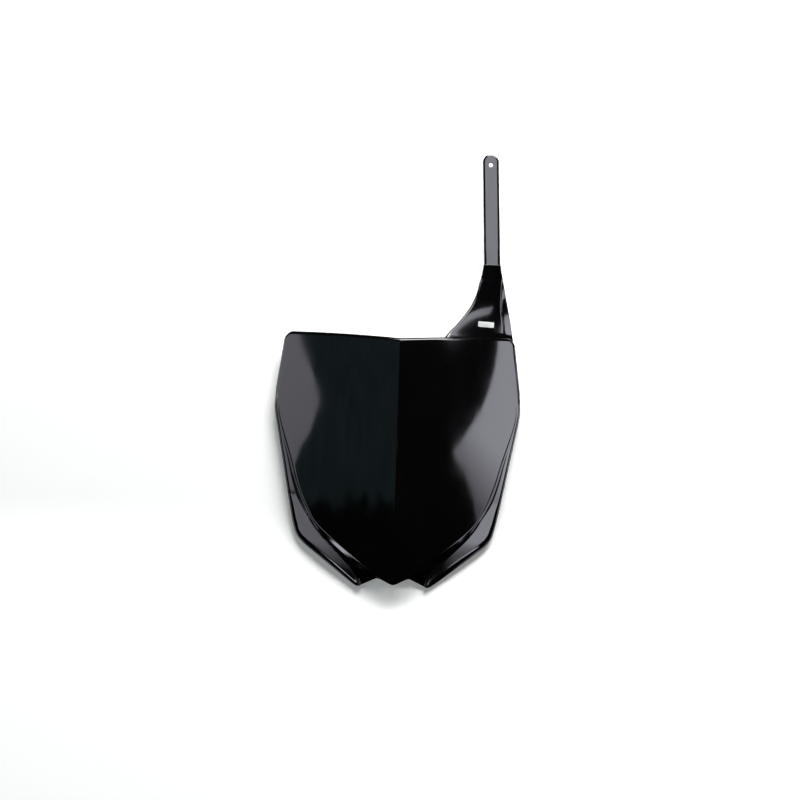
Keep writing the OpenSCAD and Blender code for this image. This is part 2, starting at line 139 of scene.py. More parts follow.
class BoardSizes(bpy.types.PropertyGroup):
    """Sizes of the moulding."""

    panel_w: length("Panel width", "Width over the two side corners", 244)
    panel_h: length("Panel height", "Height from the top corners to the fins' points", 250)
    wall: length("Wall", "Thickness of the moulded wall", 2.2)
    crease_rake: ratio("Crease rake", "Slope of each half beside the crease", 0.14)
    side_sweep: length("Side sweep", "How far the outer half curves back", 28)
    end_sweep: length("End sweep", "How far the upper and lower ends curve back", 9)
    rim_r: length("Rim radius", "Rounding of the rim at the top and sides", 3.4)
    lower_rim_r: length("Lower rim radius", "Rounding of the rim below", 1.6)
    rim_depth: length("Rim depth", "Depth of the rim at the top and sides", 9)
    lower_rim_depth: length("Lower rim depth", "Depth of the rim below", 3.6)
    gill_depth: length("Gill depth", "Depth of the gills at their mouths", 7)
    step_depth: length("Step depth", "Step between the panel and the upper wing", 3.2)
    top_arch: length("Top arch", "Bulge of the top edge on each half", 0.8)
    corner_r: length("Corner radius", "Rounding of the top corners", 5)
    neck_h: length("Neck height", "From the top corners to the strap's foot", 73)
    neck_foot_w: length("Neck foot width", "Width of the neck at the rim", 71)
    neck_foot_x: length("Neck foot place", "Outer end of the neck's foot", 113.6)
    neck_lean: length("Neck lean", "How far the strap's foot lies behind", 7)
    neck_turn: length("Neck turn", "Width of the neck's turned-back edge", 9)
    slot_w: length("Slot width", "Width of the slot", 16.1)
    slot_h: length("Slot height", "Height of the slot", 5.5)
    slot_up: length("Slot place", "Slot's middle above the top corners", 12.8)
    slot_in: length("Slot inset", "Slot's middle inside the neck's outer end", 28.7)
    strap_l: length("Strap length", "From the neck to the round end", 113.5)
    strap_w: length("Strap width", "Width of the strap", 16)
    strap_t: length("Strap thickness", "Thickness of the strap", 1.8)
    strap_tilt: angle("Strap tilt", "Angle at which the strap leans back", 9)
    strap_lean: angle("Strap lean", "Angle at which the strap leans inwards", 2)
    strap_hole_d: length("Strap hole", "Hole in the strap's end", 4.4)
    strap_hole_inset: length("Strap hole inset", "Hole's middle from the end", 11)
    fix_hole_d: length("Bolt hole", "Bolt hole of the fixing tab", 6.5)
    fix_reach: length("Tab reach", "From the crease to the bolt hole", 34)
    fix_drop: length("Tab drop", "Tab's upper face below the top corners", 11)
    tab_t: length("Tab thickness", "Thickness of the fixing tab", 3)
    tab_w: length("Tab width", "Width of the tab's round end", 19)
    socket_d: length("Socket bore", "Bore of the socket", 10)
    socket_l: length("Socket depth", "Depth of the socket's bore", 13)
    socket_up: length("Socket place", "Socket's middle above the fins' points", 43)
    socket_wall: length("Socket wall", "Wall of the socket", 2.6)
    rib_t: length("Rib thickness", "Thickness of the ribs", 1.8)


class BoardFinish(bpy.types.PropertyGroup):
    """Colour and gloss of the plastic."""

    plastic: colour("Plastic", "Colour of the plastic itself", "#050506")
    haze: colour("Haze", "Colour in the thin flow marks", "#0a0a0c")
    polished: ratio("Polished roughness", "Roughness of the polished face", 0.07)
    handled: ratio("Handled roughness", "Roughness where hands have dulled it", 0.13)
    ripple_mm: ratio("Ripple", "Size of the moulding's ripples in millimetres", 9.0)
    grain_mm: ratio("Grain", "Size of the finest unevenness in millimetres", 0.8)


class StudioLook(bpy.types.PropertyGroup):
    """Camera and light."""

    azimuth: angle("Azimuth", "Turn of the camera round the board", -1.5)
    roll: angle("Roll", "Turn of the camera about its own axis", 1.9)
    distance: length("Distance", "From the lens to the board", 2208)
    focal_mm: ratio("Focal length", "Lens in millimetres", 100.0)
    paper: colour("Paper", "Colour of the floor and the wall", "#f4f6f5")
    glow: ratio("Glow", "Own white of the back paper for the camera", 0.24)
    fill: ratio("Fill", "Light that the white surroundings give", 0.3)


# Shared arithmetic

# Largest share of a straight stretch that the rounding of a corner takes
MOST_CUT = 0.45


def keyed(keys, share):
    """Straight interpolation in a table of keys, for every column after the first."""
    table = np.asarray(keys, float)
    return np.stack([np.interp(share, table[:, 0], c) for c in table[:, 1:].T], axis=-1)


def smooth(m, start=0.0, end=1.0):
    """Rises from 0 at the start to 1 at the end, as three squares less two cubes of the
    share of the way between them."""
    s = np.clip((m - start) / (end - start), 0, 1)
    return s * s * (3 - 2 * s)


def folded(q, radius):
    """0 before a fold and q behind it, rounded over the radius: half of q and of the
    root of both squares."""
    return (np.sqrt(q * q + radius**2) + q) / 2


def unit(v):
    """Each vector divided by its length."""
    return v / np.maximum(np.linalg.norm(v, axis=-1, keepdims=True), 1e-12)


def eased(count, pull):
    """Shares from 0 to 1 that lie closer together at both ends: the share less pull
    times the sine of its full turn."""
    s = np.linspace(0, 1, count)
    return s - pull * np.sin(2 * np.pi * s) / (2 * np.pi)


def softened(shares, table, at, spread):
    """Straight interpolation in the table, averaged over a bell-shaped window of the
    given spread. Beyond both ends the table goes on as its own point reflection."""
    taps = np.linspace(-1, 1, 9)
    weights = 1 + np.cos(np.pi * taps)
    rows = table.reshape(len(shares), -1)

    def value(v):
        """The table at any share, inside or beyond its ends."""
        mirrored = np.where(v < 0, -v, np.where(v > 1, 2 - v, v))
        found = np.stack([np.interp(mirrored, shares, c) for c in rows.T], axis=-1)
        found = np.where(v[:, None] < 0, 2 * rows[0] - found, found)
        return np.where(v[:, None] > 1, 2 * rows[-1] - found, found)

    total = sum(w * value(at + t * spread) for t, w in zip(taps, weights))
    return (total / weights.sum()).reshape(len(at), *table.shape[1:])


def filleted(points, sizes, between, steps=5):
    """Carries a line along the points, which lie on the last axis but one. Each inner
    corner is a quadratic Bezier curve from its size before the corner to its size after
    it, and takes at most MOST_CUT of a neighbouring stretch. between gives the shares
    at which each straight stretch has its own points."""
    step = np.diff(points, axis=-2)
    run = np.linalg.norm(step, axis=-1, keepdims=True)
    way = unit(step)
    out = []
    start = points[..., 0, :]
    last = points.shape[-2] - 1
    for j in range(1, last + 1):
        corner = points[..., j, :]
        if j < last:
            room = MOST_CUT * np.minimum(run[..., j - 1, :], run[..., j, :])
            cut = np.minimum(sizes[j - 1], room)
            end, after = corner - way[..., j - 1, :] * cut, corner + way[..., j, :] * cut
        else:
            end = corner
        out += [start + (end - start) * s for s in between[j - 1]]
        if j < last:
            t = np.linspace(0, 1, steps)[:-1]
            out += [end * (1 - s) ** 2 + corner * 2 * s * (1 - s) + after * s * s for s in t]
            start = after
    return np.stack([*out, points[..., last, :]], axis=-2)


def outward_of(loop):
    """Unit vectors that point out of a closed loop in the plane: each is at a right
    angle to the line between the two neighbours, then averaged twice along the loop."""
    along = np.roll(loop, -1, axis=0) - np.roll(loop, 1, axis=0)
    x, y = loop.T
    area = np.sum(x * np.roll(y, -1) - np.roll(x, -1) * y)
    out = unit(np.stack([along[:, 1], -along[:, 0]], axis=-1) * np.sign(area))
    for _ in range(2):
        out = unit(2 * out + np.roll(out, 1, axis=0) + np.roll(out, -1, axis=0))
    return out


def even_loop(loop, count):
    """The closed loop again, with points at even distances along it."""
    closed = np.vstack([loop, loop[:1]])
    far = np.concatenate([[0], np.cumsum(np.linalg.norm(np.diff(closed, axis=0), axis=1))])
    at = np.linspace(0, far[-1], count, endpoint=False)
    return np.stack([np.interp(at, far, c) for c in closed.T], axis=-1)


def grid_faces(index, wrap_rows=False, wrap_cols=False):
    """Four-sided faces between neighbouring rows and columns of a grid of indices."""
    if wrap_rows:
        index = np.vstack([index, index[:1]])
    if wrap_cols:
        index = np.hstack([index, index[:, :1]])
    quads = [index[:-1, :-1], index[1:, :-1], index[1:, 1:], index[:-1, 1:]]
    return np.stack(quads, axis=-1).reshape(-1, 4)


def make_piece(name, points, quads, material, poles=()):
    """Makes one closed piece from points in the drawing's place and its faces. Poles
    are pairs of a ring of indices and the index of the point that closes it. The signed
    volume, a third of the sum of each corner dotted with its face, turns all faces
    outwards."""
    fans = [np.stack([ring, np.roll(ring, -1), np.full(len(ring), tip)], axis=-1)
            for ring, tip in poles]
    tris = np.vstack([quads[:, [0, 1, 2]], quads[:, [0, 2, 3]], *fans])
    a, b, c = (points[tris[:, k]] for k in range(3))
    faces = quads.tolist() + [f for fan in fans for f in fan.tolist()]
    if np.einsum("ij,ij->", a, np.cross(b, c)) < 0:
        faces = [f[::-1] for f in faces]
    mesh = bpy.data.meshes.new(name)
    mesh.from_pydata((points + board_place()).tolist(), [], faces)
    mesh.validate()
    mesh.polygons.foreach_set("use_smooth", np.ones(len(mesh.polygons), bool))
    mesh.materials.append(material)
    piece = bpy.data.objects.new(name, mesh)
    bpy.context.scene.collection.objects.link(piece)
    weighted = piece.modifiers.new("even gloss", "WEIGHTED_NORMAL")
    weighted.weight = 80
    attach(piece, "root")
    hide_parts("number_board")


def board_place():
    """The way from the middle of the panel to the origin in the bolt hole."""
    b = bpy.context.scene.board_sizes
    return np.array([0, -b.fix_reach, b.fix_drop - top_z(b) + b.tab_t / 2])


# The panel with its rim and wings

# Rounding of the crease, of both its ends in the plan, and of the notches beside its foot
CREASE_ROUND, TIP_ROUND, NOTCH_ROUND = 1.2 * MM, 2 * MM, 1.6 * MM
# Height at which the panel comes furthest forward, and the distance from it at which
# the panel lies back by SWEEP_SHARE of the end sweep
SWEEP_Z0, SWEEP_HALF, SWEEP_SHARE = 10 * MM, 134 * MM, 1.25
# Drawn heights of the crease's ends, without the rim's rounding
CREASE_ENDS = np.array([120.6, -122.4])
# From the border in to the panel's edge, above the wing
EDGE_GAP = 3 * MM
# The border's lower corner lies this much further out, and above the rim by this share
# of the rim's width.
FOOT_OUT, FOOT_UP = 0.1 * MM, 1.3
# Half the share of the way down over which the outline's direction is taken
WAY_STEP = 0.012
# Shares of the way down between which the step deepens to the gill
GILL_DEEPENS = (0.6, 0.667)
# How far the step and the fin's crest lie to the side on the back
STEP_SHIFT, CREST_SHIFT = 1.3 * MM, 1.2 * MM
# Rounding of the fold at the panel's edge, the step's foot, the fin's foot, the crest
# and the leaf's edge. The first grows by FOLD_GROWTH from FOLD_GROWS down.
FOLD_SIZES = np.array([0.9, 1.0, 1.2, 0.6, 2.2]) * MM
FOLD_GROWS, FOLD_GROWTH = 0.95, 1.8
# The top edge bulges down to this share of the way, and the notches are rounded from
# this share down, by this much.
ARCH_END, NOTCH_START, NOTCH_SHARE = 0.2, 0.93, 0.65
# Rows of the surface within the top row of the moulding, their pull to the corner, and
# the rows below
CORNER_ROWS, CORNER_PULL, FINE_ROWS = 8, 1.4, 176
# Columns from the crease to the panel's edge with their pull to both, and the places of
# the columns on every other stretch
PANEL_COLUMNS, PANEL_PULL = 34, 0.8
STRETCH = [0, 0.12, 0.5, 0.88]
# Rows of the moulding over which the plan and the depth are averaged
PLAN_SPREAD, DEPTH_SPREAD = 0.6, 1.0
# Rounding of the rim's rear edge
REAR_EDGE = 0.6 * MM
# Steps round the rim's front corner, and round each corner of its rear edge
RIM_STEPS, EDGE_STEPS = 9, 4


def fit(b):
    """Metres for each drawn millimetre, across and up."""
    return np.array([b.panel_w / DRAWN_W, b.panel_h / DRAWN_H])


def top_z(b):
    """Height of the top corners above the middle of the panel."""
    return DRAWN_TOP * fit(b)[1]


def panel_y(b, x, z):
    """Depth of the panel's face: the rake times the distance from the crease, rounded
    at the crease, and two parabolas, one across and one up the panel."""
    near = np.sqrt(x * x + CREASE_ROUND**2)
    return (b.crease_rake * near + b.side_sweep * (2 * x / b.panel_w) ** 2
            + SWEEP_SHARE * b.end_sweep * ((z - SWEEP_Z0) / SWEEP_HALF) ** 2)


def panel_slope(b, x, z):
    """Slopes of the panel's face across and up, from the formula of its depth."""
    near = np.sqrt(x * x + CREASE_ROUND**2)
    across = b.crease_rake * x / near + 8 * b.side_sweep * x / b.panel_w**2
    up = 2 * SWEEP_SHARE * b.end_sweep * (z - SWEEP_Z0) / SWEEP_HALF**2
    return np.stack([across, up], axis=-1)


def grid_y(b, grid):
    """Depth of a grid's points: the panel's face there and each point's own depth."""
    return panel_y(b, grid[..., 0], grid[..., 1]) + grid[..., 2]


def placed(plan, y):
    """Points from X and Z in the plan and from their depth."""
    return np.stack([plan[..., 0], y, plan[..., 1]], axis=-1)


def rim_start(b, plan, out):
    """Angle at which the rim's rounding takes over from the sloping face: the angle of
    the face's slope outwards."""
    slope = np.sum(panel_slope(b, plan[..., 0], plan[..., 1]) * out, axis=-1)
    return np.arctan(np.maximum(slope, 0))


def rim_reach(b, radius, plan, out):
    """How far the rim's rounding reaches beyond the face: the radius times 1 less the
    sine of the angle at which it starts."""
    return radius * (1 - np.sin(rim_start(b, plan, out)))


def rim_at(b, share):
    """Radius and depth of the rim down the side: the lower ones, and the keyed share of
    the way to the upper ones."""
    upper = keyed(RIM_KEYS, share)[..., 0]
    return (b.lower_rim_r + (b.rim_r - b.lower_rim_r) * upper,
            b.lower_rim_depth + (b.rim_depth - b.lower_rim_depth) * upper)


def outline_frame(b, share):
    """Points of the right-hand outline and their outward directions, at a right angle
    to the line between a point ahead and one behind."""
    at = keyed(OUTLINE_KEYS, share) * fit(b)
    ahead = keyed(OUTLINE_KEYS, np.minimum(share + WAY_STEP, 1)) * fit(b)
    behind = keyed(OUTLINE_KEYS, np.maximum(share - WAY_STEP, 0)) * fit(b)
    way = unit(ahead - behind)
    return at, np.stack([-way[:, 1], way[:, 0]], axis=-1)


def wing_lines(b, back):
    """Seven lines down the right-hand half, from the crease to the border, as X, Z and
    depth behind the panel's face, at the rows of the moulding. On the back the steps
    lie a little to the side, so that the wall keeps its thickness."""
    share = np.arange(ROWS + 1) / ROWS
    share[1] = CORNER_SHARE
    outline, out = outline_frame(b, share)
    radius, _ = rim_at(b, share)
    border = outline - out * rim_reach(b, radius, outline, out)[:, None]
    ends = np.array([[0, outline[0, 1]], [0, outline[-1, 1]]])
    ways = np.array([[0, 1.0], [0, -1.0]])
    top_reach, low_reach = rim_reach(b, np.array([b.rim_r, b.lower_rim_r]), ends, ways)
    border[0, 1] = outline[0, 1] - top_reach
    border[-1] = outline[-1] + [FOOT_OUT, FOOT_UP * low_reach]
    edge = np.where(share[:, None] < EDGE_KEYS[0][0], border - [EDGE_GAP, 0],
                    keyed(EDGE_KEYS, share) * fit(b))
    top, low = CREASE_ENDS * fit(b)[1] + [-top_reach, low_reach]
    crease = np.stack([np.zeros(ROWS + 1), top + (low - top) * share], axis=-1)
    depths = keyed(DEPTH_KEYS, share)
    deep = b.step_depth + (b.gill_depth - b.step_depth) * smooth(share, *GILL_DEEPENS)
    span = border - edge
    width, way = np.linalg.norm(span, axis=1, keepdims=True), unit(span)
    step_foot, fin_foot, crest, leaf = np.split(keyed(SHARE_KEYS, share), 4, axis=1)
    # The shifts grow with the depth of the step and with the height of the crest.
    step_in = -back * STEP_SHIFT * np.clip(1.5 * depths[:, :1], 0, 1) * way
    crest_high = np.clip(2 * (depths[:, 1:2] - depths[:, 2:3]), 0, 1)
    crest_out = back * np.minimum(CREST_SHIFT * crest_high, (leaf - crest) * width / 2) * way
    plans = [crease, edge + step_in, edge + step_foot * span + step_in,
             edge + fin_foot * span + crest_out, edge + crest * span + crest_out,
             edge + leaf * span, border]
    drop = np.hstack([np.zeros((ROWS + 1, 2)), depths * deep[:, None]])
    return share, np.concatenate([np.stack(plans, axis=1), drop[..., None]], axis=-1)


def wing_grid(b, back):
    """The whole face as a grid of X, Z and depth, left to right and top to bottom: the
    lines of both halves with rounded corners between them. The crease's ends, the
    notches and the two top corners are rounded in the plan. At a top corner each share
    of a square's side is multiplied by the root of 1 less half the square of the other
    share."""
    share, table = wing_lines(b, back)
    corner_rows = (np.arange(CORNER_ROWS) / CORNER_ROWS) ** CORNER_PULL / ROWS
    fine = np.concatenate([corner_rows, np.linspace(1 / ROWS, 1, FINE_ROWS)])
    lines = softened(share, table, fine, PLAN_SPREAD / ROWS)
    lines[..., 2] = softened(share, table, fine, DEPTH_SPREAD / ROWS)[..., 2]
    wider = 1 + FOLD_GROWTH * smooth(fine, FOLD_GROWS)[:, None]
    rounds = [FOLD_SIZES[0] * wider, *FOLD_SIZES[1:]]
    half = filleted(lines, rounds, [eased(PANEL_COLUMNS, PANEL_PULL)[:-1], *[STRETCH] * 5])
    rise = (lines[:, 1, 1] - lines[:, 0, 1]) / lines[:, 1, 0]
    x = half[..., 0]
    half[..., 1] += rise[:, None] * (np.sqrt(x * x + TIP_ROUND**2) - x)
    across = np.clip(x / lines[:, 1:2, 0], 0, 1)
    arch = b.top_arch * np.maximum(0, 1 - fine / ARCH_END)[:, None]
    half[..., 1] += 4 * arch * across * (1 - across)
    beside = x - lines[:, 1:2, 0]
    near_foot = NOTCH_SHARE * smooth(fine, NOTCH_START)[:, None]
    half[..., 1] -= near_foot * (np.sqrt(beside**2 + NOTCH_ROUND**2) - np.abs(beside))
    middle = lines[0, -1, :2] - b.corner_r
    square = (half[..., :2] - middle) / b.corner_r
    # The upper limit keeps the root real outside the square.
    other_way = np.clip(square[..., ::-1], 0, 1.2)
    disc = middle + b.corner_r * square * np.sqrt(1 - other_way**2 / 2)
    half[..., :2] = np.where(np.all(square > 0, axis=-1, keepdims=True), disc, half[..., :2])
    other = half[:, :0:-1] * [-1, 1, 1]
    return fine, np.concatenate([other, half], axis=1)


def round_the_border(grid):
    """The border of a grid as one closed run: along the top, down the right-hand side,
    back along the foot and up the left-hand side."""
    return np.concatenate([grid[0], grid[1:, -1], grid[-1, -2::-1], grid[-2:0:-1, 0]])


def board_shell(b, material):
    """One closed skin: the front grid, the rim as an arc from the face's own slope to a
    straight wall with a rounded rear edge, and the back grid. The back lies behind the
    front by the wall times the root of 1 and the squares of both slopes."""
    fine, front = wing_grid(b, 0)
    _, rear = wing_grid(b, 1)
    rows, cols = front.shape[:2]
    on_front = np.arange(rows * cols).reshape(rows, cols)
    plan = round_the_border(front)[:, :2]
    out = outward_of(plan)
    radius, depth = rim_at(b, round_the_border(np.broadcast_to(fine[:, None], (rows, cols))))
    start = rim_start(b, plan, out)
    reach = rim_reach(b, radius, plan, out)[:, None]

    rear.reshape(-1, 3)[round_the_border(on_front), :2] += out * (reach - b.wall)
    slope = panel_slope(b, rear[..., 0], rear[..., 1])
    rear_y = grid_y(b, rear) + b.wall * np.sqrt(1 + np.sum(slope**2, axis=-1))
    border_y = round_the_border(grid_y(b, front))
    rings = []
    for m in np.linspace(0, 1, RIM_STEPS)[1:]:
        a = start + (np.pi / 2 - start) * m
        rings.append(placed(plan + out * (radius * (np.sin(a) - np.sin(start)))[:, None],
                            border_y + radius * (np.cos(start) - np.cos(a))))
    outer, inner = plan + out * reach, round_the_border(rear)[:, :2]
    quarter = np.linspace(0, np.pi / 2, EDGE_STEPS)
    for base, way, turn in ((outer, -out, quarter), (inner, out, quarter[::-1])):
        rings += [placed(base + way * REAR_EDGE * (1 - np.cos(t)),
                         border_y + depth - REAR_EDGE * (1 - np.sin(t))) for t in turn]

    faces = placed(front, grid_y(b, front)).reshape(-1, 3)
    points = np.vstack([faces, *rings, placed(rear, rear_y).reshape(-1, 3)])
    on_rings = len(faces) + np.arange(len(rings) * len(plan)).reshape(len(rings), -1)
    on_back = on_front + len(faces) + on_rings.size
    bands = np.vstack([round_the_border(on_front), on_rings, round_the_border(on_back)])
    quads = np.vstack([grid_faces(on_front)[:, ::-1], grid_faces(bands, wrap_cols=True),
                       grid_faces(on_back)])
    make_piece("board_shell", points, quads, material)


# Neck, strap, tab, socket and ribs


def flat(x, _):
    """The depth of a level face."""
    return np.zeros_like(x)


def plate(outer, front, thick, edge, hole=None, rings=18, pull=0.6, bevel=flat):
    """A plate between a front and a back face with round edges. Its outline is carried
    inwards to the hole, or to the middle where it has none, in rings; each edge is a
    quarter circle of the edge's radius. front gives the depth of the front face at a
    place in the plan, and bevel how much further back it lies there. Returns points as
    plan and depth, faces and poles."""
    out = outward_of(outer)
    inset = outer - out * edge
    if hole is None:
        rim_in, shares = np.broadcast_to(inset.mean(axis=0), inset.shape), eased(rings, pull)[1:]
    else:
        hole_out = -outward_of(hole)
        rim_in, shares = hole - hole_out * edge, eased(rings, pull)
    sheet = [rim_in + (inset - rim_in) * t for t in shares]
    quarter = np.linspace(0, np.pi / 2, 5)[1:]

    def turned(base, way):
        """Rings over both rounded corners of one edge, from the front to the back."""
        y = front(base[:, 0], base[:, 1])
        cut = bevel(base[:, 0], base[:, 1])
        near = [(base + way * edge * np.sin(a), y + cut + edge * (1 - np.cos(a)))
                for a in quarter]
        far = [(base + way * edge * np.sin(a), y + thick - edge * (1 - np.cos(a)))
               for a in quarter[::-1]]
        return near + far

    bands = [(p, front(p[:, 0], p[:, 1]) + bevel(p[:, 0], p[:, 1])) for p in sheet]
    bands += turned(inset, out)
    bands += [(p, front(p[:, 0], p[:, 1]) + thick) for p in sheet[::-1]]
    if hole is not None:
        bands += turned(rim_in, hole_out)[::-1]
    points = np.vstack([np.column_stack([p, y]) for p, y in bands])
    index = np.arange(len(points)).reshape(len(bands), -1)
    quads = grid_faces(index, wrap_rows=hole is not None, wrap_cols=True)
    if hole is not None:
        return points, quads, []
    middle = inset.mean(axis=0)
    y = front(middle[:1], middle[1:])[0]
    tips = np.array([[*middle, y], [*middle, y + thick]])
    poles = [(index[0], len(points)), (index[-1][::-1], len(points) + 1)]
    return np.vstack([points, tips]), quads, poles


def round_hole(outer, middle, radius):
    """Points of a round hole, each on the line from its middle to a point of the outline."""
    return middle + unit(outer - middle) * radius


def slot_hole(outer, middle, half_w, half_h, lean):
    """Points of a slot with rounded corners, a superellipse of the tenth power that is
    turned by lean, each on the line from its middle to a point of the outline."""
    way = unit(outer - middle)
    across = way[:, 0] * np.cos(lean) - way[:, 1] * np.sin(lean)
    up = way[:, 0] * np.sin(lean) + way[:, 1] * np.cos(lean)
    far = ((np.abs(across) / half_w) ** 10 + (np.abs(up) / half_h) ** 10) ** -0.1
    return middle + way * far[:, None]


# The neck's foot lies this far below the top lip, and sweeps forwards by FOOT_SWEEP,
# which fades over FOOT_FADE of its height.
NECK_SINK, FOOT_SWEEP, FOOT_FADE = 3.5 * MM, 4 * MM, 5 * MM
# Slope of the neck's turned-back left and right edge, width of each as a share of the
# turned edge, and rounding of the fold
LEFT_TURN, RIGHT_TURN, FOLD_ROUND = (1.5, 0.15), (0.75, 0.9), 0.6 * MM
# Shares of the neck's height between which the turned edges flatten out, between which
# they narrow, and by which share
TURN_FLATTENS, TURN_NARROWS, NARROWED = (0.72, 0.97), (0.35, 0.95), 0.9
# Share of the height over which the keys of the neck's edges are rounded
NECK_SPREAD = 0.05
# Slope, width and rounding of the strap's bevelled edges
BEVEL_SLOPE, BEVEL_W, BEVEL_ROUND = 0.27, 1.6 * MM, 0.3 * MM
# Share of the wall's thickness at which the parts of the back begin
ROOT_SHARE = 0.6
# How far the strap's plate reaches down over the neck, and lies behind its foot
STRAP_OVERLAP, STRAP_SET = 2 * MM, 0.35 * MM
# Radius of the edges of the neck, the strap, the tab and the ribs
NECK_EDGE, STRAP_EDGE, TAB_EDGE, RIB_EDGE = 0.5 * MM, 0.45 * MM, 0.6 * MM, 0.4 * MM
# Half the width of the tab's foot and the place of the gussets, as shares of its width
TAB_FOOT, GUSSET_X = 0.9, 0.4
# Height of the gussets, the width of their feet, and how far they end before the bolt
GUSSET_H, RIB_FOOT, BOLT_ROOM = 26 * MM, 2 * MM, 3 * MM
# The socket's floor lies this far behind the panel; its foot widens by SOCKET_FLARE, and
# its outer and inner lips are rounded by the other two.
SOCKET_FLOOR, SOCKET_FLARE, OUTER_LIP, INNER_LIP = 5 * MM, 2.2 * MM, 0.8 * MM, 0.5 * MM
# Length of the socket's ribs, how far they run into the boss, and the share of its depth
# that they reach
RIB_RUN, RIB_SINK, RIB_SHARE = 20 * MM, 1 * MM, 0.55


def neck_places(b):
    """Height of the neck's foot, its whole height, and the foot of the strap, in the
    middle between the upper ends of both edges."""
    top = top_z(b)
    low, tall = top - NECK_SINK, b.neck_h + NECK_SINK
    left = b.neck_foot_x - b.neck_foot_w * (1 - NECK_LEFT_KEYS[-1][1])
    right = b.neck_foot_x - b.neck_foot_w * NECK_RIGHT_KEYS[-1][1]
    x = (left + right) / 2
    # The foot of the strap is found on the face without the crease's rounding.
    y = panel_y(b, x, top) + b.rim_depth - b.wall + b.neck_lean
    return low, tall, np.array([x, y, low + tall])


def neck_piece(b, material):
    """A curved plate: its face runs from the swept rim at the foot to the strap's level
    by the smooth share of its height, and turns back beside both edges."""
    low, tall, root = neck_places(b)
    up = np.linspace(0, 1, 61)
    taps = np.linspace(-NECK_SPREAD, NECK_SPREAD, 7)

    def edges(s):
        """Left and right edge at each share of the height, with their keys rounded."""
        spread = np.minimum(1, np.minimum(s, 1 - s) / NECK_SPREAD)
        inside = np.clip(s[:, None] + taps * spread[:, None], 0, 1)
        left = keyed(NECK_LEFT_KEYS, inside)[..., 0].mean(axis=1)
        right = keyed(NECK_RIGHT_KEYS, inside)[..., 0].mean(axis=1)
        return b.neck_foot_x - b.neck_foot_w * (1 - left), b.neck_foot_x - b.neck_foot_w * right

    left, right = edges(up)
    z = low + tall * up
    outline = np.vstack([np.column_stack([left, z]), np.column_stack([right, z])[::-1]])
    outer = even_loop(outline, count=280)
    top = top_z(b)
    reach = rim_reach(b, b.rim_r, np.array([0, top]), np.array([0, 1.0]))

    def face(x, height):
        """Depth of the neck's face."""
        s = np.clip((height - low) / tall, 0, 1)
        foot = (panel_y(b, x, top - reach) + b.rim_depth - b.wall
                - FOOT_SWEEP * np.exp(-s * b.neck_h / FOOT_FADE))
        near_l, near_r = edges(s)
        width = b.neck_turn * (1 - NARROWED * smooth(s, *TURN_NARROWS))
        past_l = LEFT_TURN[0] * (LEFT_TURN[1] * width - x + near_l)
        past_r = RIGHT_TURN[0] * (RIGHT_TURN[1] * width - near_r + x)
        turned = folded(past_l, FOLD_ROUND) + folded(past_r, FOLD_ROUND)
        return foot + (root[1] - foot) * smooth(s) + turned * (1 - smooth(s, *TURN_FLATTENS))

    middle = np.array([b.neck_foot_x - b.slot_in, top + b.slot_up])
    hole = slot_hole(outer, middle, b.slot_w / 2, b.slot_h / 2, b.strap_lean)
    points, quads, poles = plate(outer, face, b.wall, NECK_EDGE, hole, rings=30)
    make_piece("neck", points[:, [0, 2, 1]], quads, material, poles)


def strap_piece(b, material):
    """A flat plate with a round end and a hole, laid on the neck's upper end and turned
    by its tilt about X, then by its lean about Y."""
    _, _, root = neck_places(b)
    half = b.strap_w / 2
    turn = np.linspace(0, np.pi, 60)
    end = np.column_stack([half * np.cos(turn), b.strap_l - half + half * np.sin(turn)])
    right_foot, left_foot = [half, -STRAP_OVERLAP], [-half, -STRAP_OVERLAP]
    outer = even_loop(np.vstack([right_foot, end, left_foot]), count=300)
    middle = np.array([0, b.strap_l - b.strap_hole_inset])
    hole = round_hole(outer, middle, b.strap_hole_d / 2)

    def bevel(x, z):
        """The front face slopes back beside its edges."""
        beyond = np.hypot(x, np.maximum(z - b.strap_l + half, 0))
        return BEVEL_SLOPE * folded(beyond - half + BEVEL_W, BEVEL_ROUND)

    points, quads, poles = plate(outer, flat, b.strap_t, STRAP_EDGE, hole, rings=34, bevel=bevel)
    points = points[:, [0, 2, 1]] + [0, STRAP_SET, 0]
    way = Matrix.Rotation(-b.strap_lean, 3, "Y") @ Matrix.Rotation(-b.strap_tilt, 3, "X")
    make_piece("strap", points @ np.array(way).T + root, quads, material, poles)


def root_y(b, x, z):
    """A depth inside the wall, a little behind its middle, where the back's parts begin."""
    return panel_y(b, x, z) + ROOT_SHARE * b.wall


def rib_plate(b, corners):
    """The plate of a rib with the given outline."""
    return plate(even_loop(corners, count=160), flat, b.rib_t, RIB_EDGE, rings=8)


